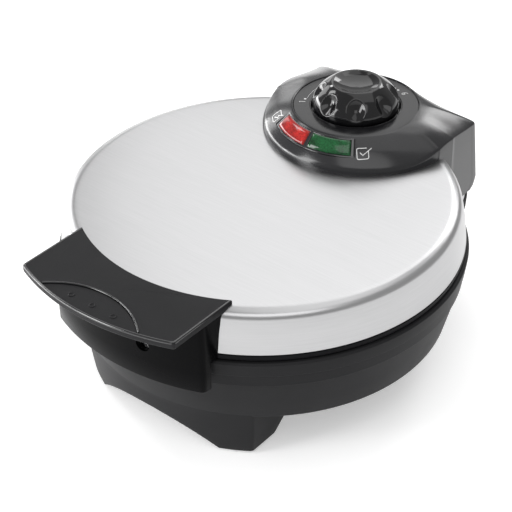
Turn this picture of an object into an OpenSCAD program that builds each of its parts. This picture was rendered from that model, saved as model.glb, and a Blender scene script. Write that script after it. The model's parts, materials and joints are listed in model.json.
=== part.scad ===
// Round electric waffle maker: a base with a waffle plate in it, and a lid hinged behind it.
// Lengths are millimetres. The lid's axis stands at [0, centre_y], and +Y points to the hinge.

/* [Cooking plates] */
// Diameter of the waffle that the two plates bake
waffle_d = 203; // [201:0.5:204]
// Depth of each plate's well below its flange
well_depth = 15; // [14:0.1:15]
// Height of the square pegs above the well's floor
peg_h = 9.5; // [7:0.5:9.5]
// Distance between the centres of neighbouring pegs
peg_pitch = 20; // [18:0.5:22]
// Side of a square peg
peg_w = 13; // [11:0.5:14]
// Radius that the heating element is bent to
element_bend_r = 72; // [70:0.5:73]

/* [Base] */
// Outer radius of the rim band at its top edge
rim_r = 118; // [117.8:0.1:118.6]
// Height of the rim's top edge above the table
rim_top = 75.3; // [75:0.1:76]
// Height of the rim band
rim_h = 17.1; // [16.8:0.1:17.4]
// Height of the body's underside above the table
floor_z = 30.4; // [29:0.1:31]
// Outer radius of the body at its underside
floor_r = 107.8; // [107:0.1:108.5]
// Outer radius of the feet where they stand on the table
foot_r = 104; // [103:0.1:105]
// Distance from the middle to the inner side of a foot
foot_in = 43; // [42:0.5:43]
// Distance from the middle to the outer side of a foot
foot_out = 60.5; // [60:0.1:61]
// Radius of the arch between the two front feet
arch_r = 62; // [60:0.5:64]
// Height of the arch above the table
arch_top = 19.2; // [18:0.1:20]

/* [Lid] */
// Outer radius of the steel cover at its lower edge
lid_r = 116; // [115.9:0.1:116.2]
// Height of the lid's flat top above the rim
lid_h = 29.5; // [29:0.1:30]
// Radius of the flat top
lid_flat_r = 106.7; // [106:0.1:107.5]
// Thickness of the steel sheet
sheet_t = 0.9; // [0.8:0.1:1]

/* [Handle] */
// Width of the handle
handle_w = 107.6; // [104:0.2:110]
// Thickness of the handle's top plate
handle_t = 4.4; // [4:0.1:4.6]
// How far the handle's front edge stands from the lid's axis
handle_reach = 145.8; // [144:0.1:147]
// Depth of the skirt below the top plate
skirt_h = 42.6; // [40:0.2:43]

/* [Control housing] */
// Radius of the housing's round front
housing_r = 60.8; // [60:0.1:61.5]
// Distance from the lid's axis to the back of the housing
housing_back = 138.5; // [137.5:0.1:139.5]
// Radius of the dial plate around the knob
dial_r = 37.2; // [36.5:0.1:37.6]
// Radius of the knob
knob_r = 26.1; // [25:0.1:26.4]
// Number of finger grooves around the knob
grooves = 8; // [6:1:10]

/* [Hinge] */
// Distance from the lid's axis to the hinge axis
hinge_y = 127.5; // [127.3:0.1:127.7]
// Height of the hinge axis above the table
hinge_z = 55.5; // [55.3:0.1:55.7]
// Radius of the hinge pins
pin_r = 2.5; // [2.3:0.1:2.7]

/* [Hidden] */
$fn = 96;
lap = 0.02;                                     // how far a cutter passes beyond the face it cuts
centre_y = (handle_reach - housing_back) / 2;   // puts the middle of the whole length at y = 0
running_gap = 0.05;                             // radial clearance of a shaft that turns
shell_t = 2.6;                                  // wall of the base and of the housing

// Heights of the stack, from the table up
rim_bottom = rim_top - rim_h;
parting_z = rim_top + 0.3;
ring_bottom = parting_z + 0.3;
cover_bottom = rim_top + 4.1;
lid_top = rim_top + lid_h;
shoulder_z = lid_top - 2.9;
shoulder_r = lid_r - 3.2;
pad_h = 1.6;

// Cooking plate, measured in the lower plate's place
well_r = waffle_d / 2;
well_floor = rim_top - well_depth;
cast_t = 3.3;
plate_under = well_floor - cast_t;
flange_t = 2.5;
flange_r = 110.3;
plate_wall_r = well_r + 3;
element_r = 3.3;
element_z = plate_under - element_r;
element_gap = 40;
leg_x = element_bend_r * sin(element_gap / 2);   // where the element's two cold legs stand
leg_y = element_bend_r * cos(element_gap / 2);
post_at = 96;
flange_screw_at = 107.6;
reflector_r = 82;

// Handle
plate_top = lid_top + 2.2;
plate_bottom = plate_top - handle_t;
skirt_bottom = plate_bottom - skirt_h;
handle_front_r = 142.6;
skirt_front = 125.4;
skirt_front_r = 136.5;
skirt_t = 2.8;
skirt_half_w = handle_w / 2 - 0.4;
handle_screw = [20, rim_top + 6.7];

// Control housing and its dial
housing_y = 96.3;
dial_y = 88.5;
dial_z = lid_top + 16.6;
dial_t = 4.9;
dial_well_r = knob_r + 1.3;
knob_z = dial_z - 3.4;
knob_top = dial_z + 15.2;
shaft_r = 3;
housing_bottom = 62.5;
screw_spots = [[49, 79], [31, 98]];

// Lens band: it slopes down from lens_z at radius lens_r around the knob
lens_r = 40.9;
lens_z = dial_z - 0.9;
lens_slope = 43.7;
lens_w = 9.1;
lens_t = 3;
red_arc = [-127, -93.2];
green_arc = [-90.8, -57];

// Hinge
knuckle_r = 6.2;
ear_in = 38;
ear_out = 54.4;
lug_in = 24;
lug_out = ear_in - 0.3;
sleeve_half = 15;
sleeve_bore = 2.6;
gland_z = 40;
gland_bore = 3.6;
lead_hole = [-18, 46];                          // x and z of the hole that the lid's wires leave through
lead_hole_r = 3;
bracket_screw = [12, 90];                       // x and z of the screws that hold the hinge bracket

// ---- helpers ----

module placed() {
    translate([0, centre_y, 0]) children();
}

// Turns what is drawn for the lower half over into the lid
module in_lid() {
    translate([0, 0, 2 * parting_z]) mirror([0, 0, 1]) children();
}

module both_sides() {
    children();
    mirror([1, 0, 0]) children();
}

module at_polar(r, a) {
    translate([r * cos(a), r * sin(a), 0]) children();
}

// A straight rod of radius r from p to q
module rod(p, q, r) {
    d = q - p;
    reach = norm(d);
    translate(p) rotate([0, acos(d.z / reach), atan2(d.y, d.x)]) cylinder(h = reach, r = r, $fn = 12);
}

// A wire of radius r along the points of a route, whose lengths each overlap the next at its bend
module wire(route, r) {
    for (i = [0 : len(route) - 2]) {
        along = (route[i + 1] - route[i]) / norm(route[i + 1] - route[i]);
        rod(
            route[i] - (i > 0 ? r * 0.9 : 0) * along,
            route[i + 1] + (i < len(route) - 2 ? r * 0.9 : 0) * along, r
        );
    }
}

// A cylinder along X from x0 to x1 at [y, z]
module x_cylinder(x0, x1, y, z, r) {
    translate([x0, y, z]) rotate([0, 90, 0]) cylinder(h = x1 - x0, r = r);
}

// A cylinder along Y from y0 to y1 at [x, z]
module y_cylinder(y0, y1, x, z, r) {
    translate([x, y0, z]) rotate([-90, 0, 0]) cylinder(h = y1 - y0, r = r);
}

// A [y, z] outline drawn out along X from x0 to x1
module along_x(x0, x1) {
    translate([x0, 0, 0]) rotate([90, 0, 90]) linear_extrude(x1 - x0) children();
}

// A pan-head screw whose shank points down from [0, 0, 0]
module screw(shank_r, length, head_r, head_h) {
    difference() {
        union() {
            translate([0, 0, -length]) cylinder(h = length, r = shank_r);
            cylinder(h = head_h, r = head_r);
        }
        for (a = [0, 90]) rotate([0, 0, a])
            translate([-head_r * 0.6, -0.4, head_h * 0.5]) cube([head_r * 1.2, 0.8, head_h]);
    }
}

// Outer form of the base body between its underside and the rim
module base_solid() {
    rotate_extrude() polygon([
        [0, floor_z], [floor_r, floor_z], [rim_r - 3.2, rim_bottom], [0, rim_bottom]
    ]);
}

// Outer form of the lid from its ring to its flat top
module lid_solid() {
    rotate_extrude() polygon([
        [0, ring_bottom], [lid_r, ring_bottom], [lid_r, cover_bottom],
        [shoulder_r, shoulder_z], [lid_flat_r, lid_top], [0, lid_top]
    ]);
}

// ---- base ----

// Round wall of the feet and of the chin between them, from inner radius r_in outwards
module foot_ring(r_in) {
    rotate_extrude() polygon([
        [r_in, pad_h], [foot_r + (floor_r - foot_r) * pad_h / floor_z, pad_h],
        [floor_r, floor_z + lap], [r_in, floor_z + lap]
    ]);
}

module foot() {
    intersection() {
        foot_ring(60);
        along_x(foot_in, foot_out) polygon([[-110, 0], [-64.3, 0], [-36, floor_z + 1], [-110, floor_z + 1]]);
    }
}

module chin() {
    intersection() {
        foot_ring(foot_r - 4);
        translate([-foot_in - 1, -110, 0]) cube([2 * foot_in + 2, 60, floor_z + 1]);
    }
}

module vents() {
    for (side = [-1, 1], i = [-4 : 4])
        translate([i * 10 - 1.75, side * 36 - 14, floor_z - 1]) cube([3.5, 28, shell_t + 2]);
}

module base_shell() {
    color("#303032") placed() difference() {
        union() {
            difference() {
                base_solid();
                rotate_extrude() polygon([
                    [0, floor_z + shell_t], [floor_r - 2, floor_z + shell_t],
                    [rim_r - 5.4, rim_bottom + lap], [0, rim_bottom + lap]
                ]);
            }
            // tongue that stands up inside the rim
            rotate_extrude() translate([110.6, rim_bottom - 3]) square([2.2, 9]);
            both_sides() {
                foot();
                mirror([0, 1, 0]) foot();
            }
            chin();
            intersection() {
                base_solid();
                for (a = [45 : 90 : 315]) at_polar(post_at, a) {
                    translate([0, 0, floor_z]) cylinder(h = 16, r = 5);
                    rotate([0, 0, a]) translate([3, -1.2, floor_z]) cube([14, 2.4, 12]);
                }
            }
        }
        y_cylinder(-120, -60, 0, arch_top - arch_r, arch_r);
        vents();
        for (a = [45 : 90 : 315]) at_polar(post_at, a) {
            translate([0, 0, floor_z - 1]) cylinder(h = 20, r = 2.1);
            translate([0, 0, floor_z - 1]) cylinder(h = 7, r = 4.2);
        }
        y_cylinder(95, 130, 0, gland_z, 6);
        y_cylinder(95, 130, lead_hole.x, lead_hole.y, lead_hole_r);
    }
}

module base_rim() {
    color("#262628") placed() rotate_extrude() polygon([
        [108.4, rim_top - 5.1], [108.4, rim_top - flange_t - 0.1], [110.6, rim_top - flange_t - 0.1],
        [110.6, rim_top], [rim_r - 0.6, rim_top], [rim_r, rim_top - 0.6],
        [rim_r - 1.0, rim_bottom + 8.1], [rim_r - 1.5, rim_bottom + 7.6],
        [rim_r - 2.3, rim_bottom], [112.9, rim_bottom], [112.9, rim_top - 5.1]
    ]);
}

module foot_pads() {
    color("#1c1c1c") placed()
        for (x = [-1, 1], y = [-1, 1]) translate([x * 52.5, y * 78, 0]) cylinder(h = pad_h, r = 6.5);
}

module hinge_ears() {
    color("#303032") placed() both_sides() difference() {
        union() {
            along_x(ear_in, ear_out) polygon([
                [90, 34], [hinge_y, 36.5], [hinge_y + 5, 47], [hinge_y + knuckle_r, hinge_z],
                [hinge_y - knuckle_r, hinge_z], [hinge_y - 6.5, 57.6], [90, 57.6]
            ]);
            x_cylinder(ear_in, ear_out, hinge_y, hinge_z, knuckle_r);
        }
        base_solid();
        x_cylinder(30, 60, hinge_y, hinge_z, pin_r);
        x_cylinder(ear_out - 2, ear_out + 1, hinge_y, hinge_z, 4.1);
    }
}

// Wall between the ears, with the arm that holds the wire sleeve
module wire_bridge() {
    color("#303032") placed() difference() {
        union() {
            along_x(-ear_in, ear_in) polygon([[100, 34], [119, 35], [119, 50], [100, 50]]);
            translate([-5, 112, 48.5]) cube([10, hinge_y - 112, 4.5]);
        }
        base_solid();
        x_cylinder(-10, 10, hinge_y, hinge_z, 4);
        y_cylinder(95, 130, 0, gland_z, 6);
        y_cylinder(95, 130, lead_hole.x, lead_hole.y, lead_hole_r);
    }
}

module hinge_pins() {
    color("#c8c8c8") placed() both_sides() {
        x_cylinder(lug_in - 1.5, ear_out - 1, hinge_y, hinge_z, pin_r);
        x_cylinder(ear_out - 2, ear_out - 0.4, hinge_y, hinge_z, 4);
    }
}

module wire_sleeve() {
    color("#e8e0c8") placed() difference() {
        x_cylinder(-sleeve_half, sleeve_half, hinge_y, hinge_z, 4);
        x_cylinder(-sleeve_half - 1, sleeve_half + 1, hinge_y, hinge_z, sleeve_bore);
    }
}

module cord_gland() {
    color("#1f1f20") placed() difference() {
        union() {
            y_cylinder(102.5, 121, 0, gland_z, 6);
            y_cylinder(119, 121.5, 0, gland_z, 8);
            y_cylinder(102.5, 105, 0, gland_z, 6.8);
        }
        y_cylinder(101, 123, 0, gland_z, gland_bore);
    }
}

// ---- cooking plates and their heating ----

module peg_field() {
    last = floor(well_r / peg_pitch);
    span = peg_w / sqrt(2) + 1.5;
    for (i = [-last : last - 1], j = [-last : last - 1]) {
        x = (i + 0.5) * peg_pitch;
        y = (j + 0.5) * peg_pitch;
        if (norm([x, y]) + span < well_r)
            translate([x - peg_w / 2, y - peg_w / 2, well_floor - lap]) cube([peg_w, peg_w, peg_h + lap]);
    }
}

module divider_cross() {
    for (a = [0, 90]) rotate([0, 0, a])
        translate([-well_r + 1, -1.6, well_floor - lap]) cube([2 * well_r - 2, 3.2, 6 + lap]);
}

module plate_casting() {
    rotate_extrude() polygon([
        [0, plate_under], [plate_wall_r - 2, plate_under], [plate_wall_r, plate_under + 3],
        [plate_wall_r, rim_top - flange_t], [flange_r, rim_top - flange_t], [flange_r, rim_top],
        [well_r, rim_top], [well_r, rim_top - 4], [well_r - 2.5, well_floor], [0, well_floor]
    ]);
    peg_field();
    divider_cross();
    // low walls that keep the heating element in its track
    for (r = [element_bend_r - element_r - 2.2, element_bend_r + element_r + 0.4])
        rotate_extrude() translate([r, plate_under - 4.5]) square([1.8, 4.5 + lap]);
}

module lower_plate() {
    color("#3c3c3e") placed() difference() {
        union() {
            plate_casting();
            for (a = [45 : 90 : 315]) at_polar(post_at, a)
                translate([0, 0, plate_under - 9]) cylinder(h = 9 + lap, r = 4.5);
        }
        for (a = [45 : 90 : 315]) at_polar(post_at, a)
            translate([0, 0, plate_under - 10]) cylinder(h = 10, r = 2);
    }
}

module upper_plate() {
    color("#3c3c3e") placed() in_lid() difference() {
        plate_casting();
        for (a = [45 : 90 : 315]) at_polar(flange_screw_at, a)
            translate([0, 0, rim_top - flange_t - 1]) cylinder(h = flange_t + 2, r = 1.6);
        for (a = [45 : 90 : 315]) at_polar(flange_screw_at, a)
            translate([0, 0, rim_top - 1.2]) cylinder(h = 2, r = 2.7);
    }
}

module lower_plate_screws() {
    color("#b8b8b8") placed() for (a = [45 : 90 : 315]) at_polar(post_at, a)
        translate([0, 0, floor_z + 6]) mirror([0, 0, 1]) screw(2, plate_under - floor_z - 7, 4, 2.4);
}

module upper_plate_screws() {
    color("#b8b8b8") placed() in_lid() for (a = [45 : 90 : 315]) at_polar(flange_screw_at, a)
        translate([0, 0, rim_top - 1.2]) screw(1.6, 9, 2.6, 1);
}

// leg_end is the height where the two cold legs stop
module heating_element(leg_end) {
    rotate([0, 0, 90 + element_gap / 2]) rotate_extrude(angle = 360 - element_gap)
        translate([element_bend_r, element_z]) circle(element_r);
    for (a = [90 - element_gap / 2, 90 + element_gap / 2]) at_polar(element_bend_r, a) {
        translate([0, 0, element_z]) sphere(element_r + 0.2);
        translate([0, 0, leg_end]) cylinder(h = element_z - leg_end, r = element_r);
    }
}

module lower_element() {
    color("#8a8580") placed() heating_element(43);
}

module upper_element() {
    color("#8a8580") placed() in_lid() heating_element(47.6);
}

// Straps across the element's track
module element_clips() {
    strap_z = element_z - element_r - 1.3;
    for (a = [-90, 30, 150]) rotate([0, 0, a]) {
        translate([element_bend_r - 7.5, -4, strap_z]) cube([15, 8, 1.2]);
        for (x = [element_bend_r - 7.5, element_bend_r + 6.3])
            translate([x, -4, strap_z]) cube([1.2, 8, plate_under - strap_z]);
    }
}

module lower_element_clips() {
    color("#a8a8a8") placed() element_clips();
}

module upper_element_clips() {
    color("#a8a8a8") placed() in_lid() element_clips();
}

// A thin pan under the element; z is its floor
module reflector(z) {
    difference() {
        union() {
            translate([0, 0, z]) cylinder(h = 0.6, r = reflector_r);
            rotate_extrude() translate([reflector_r - 0.6, z]) square([0.6, plate_under - z - 1]);
            for (a = [30 : 120 : 270]) at_polar(50, a)
                translate([0, 0, z]) cylinder(h = plate_under - z, r = 3);
        }
        for (a = [90 - element_gap / 2, 90 + element_gap / 2]) at_polar(element_bend_r, a)
            translate([0, 0, z - 1]) cylinder(h = 3, r = element_r + 1.2);
        translate([0, dial_y, z - 1]) cylinder(h = 14, r = 11.5);
    }
}

module lower_reflector() {
    color("#c4c4c0") placed() reflector(plate_under - 12.5);
}

module upper_reflector() {
    color("#c4c4c0") placed() in_lid() reflector(plate_under - 8.7);
}

// ---- wiring in the base ----

block_top = floor_z + shell_t + 9;

module terminal_block() {
    color("#efe9da") placed() difference() {
        translate([-18, 58, floor_z + shell_t]) cube([36, 14, block_top - floor_z - shell_t]);
        for (x = [-12, 0, 12]) translate([x, 65, block_top - 5]) cylinder(h = 6, r = 2);
    }
}

module terminal_screws() {
    color("#c9a24a") placed() for (x = [-12, 0, 12])
        translate([x, 65, block_top + lap]) screw(2, 5, 2.8, 1.2);
}

module thermal_fuse() {
    color("#d8d2c4") placed() {
        x_cylinder(-7, 7, 30, plate_under - 15, 2.4);
        x_cylinder(-12, 12, 30, plate_under - 15, 0.8);
    }
}

module base_wiring() {
    color("#d6d0c0") placed() {
        both_sides() wire([[18.1, 62, 38], [leg_x, 62, 38], [leg_x, leg_y, 38], [leg_x, leg_y, 42.8]], 1.4);
        wire([[0, 72.1, gland_z], [0, 102, gland_z]], 1.6);
        wire([
            [-12, 72.1, 38], [-12, 84, 38], [lead_hole.x, 84, 38], [lead_hole.x, 84, lead_hole.y],
            [lead_hole.x, hinge_y, lead_hole.y], [lead_hole.x, hinge_y, hinge_z], [-2.4, hinge_y, hinge_z]
        ], 2);
        wire([
            [-12.1, 30, plate_under - 15], [-16, 30, plate_under - 15], [-16, 50, plate_under - 15],
            [-16, 50, 38], [-16, 57.9, 38]
        ], 0.8);
    }
}

// ---- lid ----

module lid_cover() {
    color("#c9cbcd") placed() difference() {
        intersection() {
            lid_solid();
            translate([0, 0, cover_bottom]) cylinder(h = lid_h, r = lid_r + 1);
        }
        rotate_extrude() polygon([
            [0, cover_bottom - 1], [lid_r - sheet_t, cover_bottom - 1], [lid_r - sheet_t, cover_bottom],
            [shoulder_r - sheet_t, shoulder_z - 0.4], [lid_flat_r - 0.4, lid_top - sheet_t],
            [0, lid_top - sheet_t]
        ]);
        translate([-30, 58, lid_top - 3]) cube([60, 18, 6]);
        translate([-14, 58, lid_top - 3]) cube([28, 43, 6]);
        for (s = screw_spots, x = [-1, 1]) translate([x * s.x, s.y, lid_top - 3]) cylinder(h = 6, r = 1.8);
        for (x = [-1, 1]) {
            y_cylinder(-125, -105, x * handle_screw.x, handle_screw.y, 2.2);
            y_cylinder(105, 125, x * bracket_screw.x, bracket_screw.y, 2.2);
        }
    }
}

module lid_ring() {
    hook_r = lid_r - 2.4;
    color("#1d1d1f") placed() difference() {
        union() {
            rotate_extrude() polygon([
                [110.5, ring_bottom], [lid_r - 0.4, ring_bottom], [lid_r, ring_bottom + 0.6],
                [lid_r, cover_bottom - 0.1], [lid_r - 1, cover_bottom - 0.1], [hook_r, cover_bottom],
                [hook_r, cover_bottom + 8.6], [110.5, cover_bottom + 8.6]
            ]);
            for (a = [45 : 90 : 315]) at_polar(flange_screw_at, a)
                translate([0, 0, ring_bottom + flange_t]) cylinder(h = 9.6, r = 3);
        }
        for (a = [45 : 90 : 315]) at_polar(flange_screw_at, a)
            translate([0, 0, ring_bottom]) cylinder(h = 12, r = 1.6);
        for (x = [-1, 1]) {
            y_cylinder(-125, -100, x * handle_screw.x, handle_screw.y, 2);
            y_cylinder(100, 125, x * bracket_screw.x, bracket_screw.y, 2.2);
        }
        rotate_extrude() translate([60, 0]) square([plate_wall_r + 0.2 - 60, 200]);
    }
}

// Lugs that carry the lid on the hinge pins
module hinge_bracket() {
    color("#2a2a2c") placed() difference() {
        union() {
            translate([-lug_out, 100, cover_bottom + 1]) cube([2 * lug_out, 20.2, 20]);
            both_sides() {
                along_x(lug_in, lug_out) polygon([
                    [117.5, 96], [120.2, 96], [hinge_y - 1, 90], [hinge_y + 0.8, 66], [hinge_y + 0.8, hinge_z],
                    [hinge_y - knuckle_r, hinge_z], [119.8, 76], [117.5, 81]
                ]);
                x_cylinder(lug_in, lug_out, hinge_y, hinge_z, knuckle_r);
            }
        }
        lid_solid();
        x_cylinder(-60, 60, hinge_y, hinge_z, pin_r + running_gap);
        for (x = [-1, 1]) y_cylinder(95, 125, x * bracket_screw.x, bracket_screw.y, 2.1);
    }
}

module bracket_screws() {
    color("#b8b8b8") placed() for (x = [-1, 1])
        translate([x * bracket_screw.x, 120.2, bracket_screw.y]) rotate([-90, 0, 0]) screw(2, 11, 3.8, 2.2);
}

// ---- handle ----

// Plan of the handle's top plate between its front arc and the lid's edge
module handle_plan() {
    difference() {
        intersection() {
            translate([0, handle_front_r - handle_reach]) circle(handle_front_r, $fn = 192);
            translate([-handle_w / 2, -150]) square([handle_w, 70]);
        }
        circle(lid_flat_r - 1.4);
    }
}

// Plan of the skirt, drawn smaller by inset
module skirt_plan(inset) {
    intersection() {
        translate([0, skirt_front_r - skirt_front]) circle(skirt_front_r - inset, $fn = 192);
        translate([-skirt_half_w + inset, -130]) square([2 * (skirt_half_w - inset), 60]);
    }
}

// Plan of the lens-shaped thumb pad, drawn smaller by inset
module thumb_plan(inset) {
    intersection() {
        translate([0, handle_front_r - handle_reach]) circle(handle_front_r - inset, $fn = 192);
        translate([0, -176.3]) circle(50 - inset);
    }
}

module lid_handle() {
    color("#2c2c2e") placed() difference() {
        union() {
            translate([0, 0, plate_bottom]) linear_extrude(handle_t) handle_plan();
            translate([0, 0, skirt_bottom]) linear_extrude(skirt_h + lap) difference() {
                skirt_plan(0);
                skirt_plan(skirt_t);
            }
            for (x = [-1, 1]) intersection() {
                y_cylinder(-127, -105, x * handle_screw.x, handle_screw.y, 6);
                translate([0, 0, skirt_bottom]) linear_extrude(skirt_h) skirt_plan(0);
            }
        }
        lid_solid();
        // below the lid the skirt keeps only its front and a short return at each corner
        translate([-60, -109, skirt_bottom - 1]) cube([120, 60, ring_bottom + 1 - skirt_bottom]);
        translate([0, 0, plate_top - 2.2]) linear_extrude(3) thumb_plan(0);
        for (x = [-1, 1]) {
            y_cylinder(-130, -118.5, x * handle_screw.x, handle_screw.y, 4);
            y_cylinder(-130, -105, x * handle_screw.x, handle_screw.y, 2.1);
        }
    }
}

module thumb_pad() {
    color("#2a2a2c") placed() {
        translate([0, 0, plate_top - 2.2]) linear_extrude(1.7) thumb_plan(0.1);
        for (x = [-14.8, 0, 14.8]) translate([x, -138.4, plate_top - 0.6]) cylinder(h = 0.6, r = 1.7);
    }
}

module handle_screws() {
    color("#b8b8b8") placed() for (x = [-1, 1])
        translate([x * handle_screw.x, -118.5, handle_screw.y]) rotate([90, 0, 0]) screw(2, 9.5, 3.6, 2.2);
}

// ---- control housing ----

// Top of the housing: a cone around the dial that flattens towards the back; inset makes the inside
module housing_crown(inset) {
    hull() {
        intersection() {
            translate([0, housing_y, lid_top - 1])
                cylinder(h = 3.7 - inset / 2, r = housing_r - inset, $fn = 64);
            translate([-80, 0, lid_top - 2]) cube([160, 84, 20]);
        }
        translate([0, dial_y, lid_top - 1]) cylinder(h = 17.6 - inset, r = dial_r + 2.3 - inset, $fn = 64);
        translate([-60.3 + inset, 88, lid_top - 1]) cube([120.6 - 2 * inset, 12, 9.2 - inset]);
        translate([-57 + inset, 126, lid_top - 1]) cube([114 - 2 * inset, 5.5 - inset, 6 - inset]);
    }
}

// Back of the housing, from the crown down past the hinge; inset makes the inside
module housing_skirt(inset) {
    intersection() {
        translate([0, 0, housing_bottom - 1]) linear_extrude(60) polygon([
            [-60.5 + inset, 98], [60.5 - inset, 98],
            [57.5 - inset, housing_back], [-57.5 + inset, housing_back]
        ]);
        along_x(-70, 70) polygon([
            [96, housing_bottom - inset], [132 - inset, housing_bottom - inset],
            [132 - inset, housing_bottom + inset / 2], [135.7 - inset, 64 + inset], [housing_back - inset, 69],
            [131.5 - inset, lid_top + 5 - inset], [96, lid_top + 5 - inset]
        ]);
    }
}

module lens_band(a0, a1, b0, b1, arc) {
    function band_point(a, b) = [
        lens_r + a * cos(lens_slope) + b * sin(lens_slope),
        lens_z - a * sin(lens_slope) + b * cos(lens_slope)
    ];
    translate([0, dial_y, 0]) rotate([0, 0, arc[0]]) rotate_extrude(angle = arc[1] - arc[0])
        polygon([band_point(a0, b0), band_point(a1, b0), band_point(a1, b1), band_point(a0, b1)]);
}

module control_housing() {
    color("#3a3b3e") placed() difference() {
        union() {
            housing_crown(0);
            housing_skirt(0);
        }
        difference() {
            union() {
                housing_crown(shell_t);
                housing_skirt(shell_t);
            }
            // ledge under the dial, and screw bosses
            translate([0, dial_y, dial_z - dial_t - 2]) difference() {
                cylinder(h = 20, r = dial_r + 2.4);
                translate([0, 0, -1]) cylinder(h = 30, r = dial_r - 3);
            }
            both_sides() for (s = screw_spots) translate([s.x, s.y, lid_top - 2]) cylinder(h = 20, r = 3.6);
        }
        lid_solid();
        translate([0, 0, housing_bottom - 1]) cylinder(h = cover_bottom - housing_bottom + 1, r = rim_r + 0.8);
        translate([0, dial_y, dial_z - dial_t]) cylinder(h = 10, r = dial_r);
        both_sides() for (s = screw_spots) translate([s.x, s.y, lid_top - 1]) cylinder(h = 6, r = 1.6);
        lens_band(-1.5, lens_w + 1.5, -lens_t - 0.5, 4, [red_arc[0] - 2.4, green_arc[1] + 2.4]);
    }
}

module housing_screws() {
    color("#b8b8b8") placed() both_sides() for (s = screw_spots)
        translate([s.x, s.y, lid_top - sheet_t]) mirror([0, 0, 1]) screw(1.6, 5.5, 2.8, 1);
}

module dial_plate() {
    color("#3f4043") placed() translate([0, dial_y, 0]) difference() {
        translate([0, 0, dial_z - dial_t]) cylinder(h = dial_t, r = dial_r);
        translate([0, 0, knob_z - 0.6]) cylinder(h = dial_t, r = dial_well_r);
        translate([0, 0, dial_z - dial_t - 1]) cylinder(h = dial_t, r = shaft_r + 0.6);
    }
}

module lamp_bezel() {
    color("#2e2f31") placed() difference() {
        lens_band(-1.5, lens_w + 1.5, -lens_t - 0.5, 0.5, [red_arc[0] - 2.4, green_arc[1] + 2.4]);
        for (arc = [red_arc, green_arc]) {
            lens_band(0, lens_w, -lens_t, 2, arc);
            lens_band(1.5, lens_w - 1.5, -lens_t - 2, 0, [arc[0] + 3, arc[1] - 3]);
        }
    }
}

module red_lens() {
    color("#c0281c") placed() lens_band(0, lens_w, -lens_t, 0.3, red_arc);
}

module green_lens() {
    color("#1d7a34") placed() lens_band(0, lens_w, -lens_t, 0.3, green_arc);
}

module lamp_holder() {
    color("#e6e2d8") placed() translate([0, dial_y, 0]) rotate([0, 0, red_arc[0]])
        rotate_extrude(angle = green_arc[1] - red_arc[0]) translate([38.5, lid_top]) square([8.5, 3.6]);
}

module indicator_lamps() {
    color("#f0c8a0") placed() for (arc = [red_arc, green_arc])
        translate([0, dial_y, 0]) rotate([0, 0, (arc[0] + arc[1]) / 2]) translate([42.5, 0, lid_top + 5.6])
            rotate([90, 0, 0]) translate([0, 0, -6]) cylinder(h = 12, r = 2);
}

// ---- thermostat and knob ----

thermostat_top = dial_z - dial_t - 0.1;
shaft_foot = lid_top + 3.2;
foot_z = 2 * parting_z - plate_under;

module thermostat() {
    color("#cfc9bb") placed() translate([0, dial_y, 0]) difference() {
        union() {
            translate([0, 0, foot_z + 0.1]) cylinder(h = 5, r = 6);
            translate([0, 0, foot_z + 4]) cylinder(h = 14, r = 10);
            translate([0, 0, foot_z + 17]) cylinder(h = thermostat_top - foot_z - 17, r = 5);
        }
        translate([0, 0, shaft_foot - 0.2]) cylinder(h = 20, r = shaft_r + running_gap);
        translate([0, 0, foot_z - 1]) cylinder(h = 20, r = 1.25);
    }
}

module thermostat_bracket() {
    color("#b4b4b4") placed() difference() {
        union() {
            translate([-38, dial_y - 5, lid_top]) cube([76, 10, 1.5]);
            translate([0, dial_y, lid_top]) cylinder(h = 1.5, r = 15.5);
        }
        translate([0, dial_y, lid_top - 1]) cylinder(h = 4, r = 10);
        for (x = [-34, 34]) translate([x, dial_y, lid_top - 1]) cylinder(h = 4, r = 1.5);
    }
}

module thermostat_screws() {
    color("#b8b8b8") placed() for (x = [-34, 34])
        translate([x, dial_y, lid_top + 1.5]) screw(1.5, 1.5, 2.6, 1.4);
}

module lid_wiring() {
    color("#d6d0c0") placed() {
        wire([
            [2.4, hinge_y, hinge_z], [18, hinge_y, hinge_z], [18, hinge_y, 98], [14, 112, 109.5], [7, 98, 109.5]
        ], 2);
        both_sides() wire([[leg_x, leg_y, 103.7], [leg_x, leg_y, 109], [9.5, 82, 109]], 1.4);
        both_sides() wire([[5, 77.6, 110.6], [14, 60, 113], [17.5, 52.5, 110.4]], 0.9);
    }
}

module pressure_pin() {
    color("#d8d8d8") placed() translate([0, dial_y, foot_z + 1.5])
        cylinder(h = shaft_foot - foot_z - 2.5, r = 1.25 - running_gap);
}

module knob() {
    color("#242426") placed() translate([0, dial_y, 0]) difference() {
        rotate_extrude() polygon([
            [0, knob_z], [knob_r - 0.9, knob_z], [knob_r - 0.2, knob_z + 1.4], [knob_r, knob_z + 4.5],
            [knob_r - 0.5, knob_z + 7.8], [knob_r - 2.5, knob_z + 11.5], [knob_r - 5.6, knob_z + 14.6],
            [knob_r - 9.1, knob_top - 1.6], [knob_r - 11.5, knob_top], [knob_r - 12.9, knob_top - 0.4],
            [knob_r - 16.1, knob_top - 2.2], [0, knob_top - 3]
        ]);
        for (i = [0 : grooves - 1]) rotate([0, 0, i * 360 / grooves - 47.5])
            translate([knob_r + 3.2, 0, knob_z + 9]) rotate([0, -14, 0])
                cylinder(h = 13, r1 = 4.6, r2 = 6.2, center = true);
        translate([0, 0, knob_z - 1]) cylinder(h = 13.6, r = shaft_r);
        translate([0, 0, knob_z - 1]) difference() {
            cylinder(h = 8, r = knob_r - 5);
            translate([0, 0, -1]) cylinder(h = 12, r = 7);
        }
    }
}

module knob_shaft() {
    color("#c0b070") placed() translate([0, dial_y, shaft_foot]) difference() {
        cylinder(h = knob_z + 12.4 - shaft_foot, r = shaft_r);
        translate([2, -5, 14]) cube([4, 10, 30]);
    }
}

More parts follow.
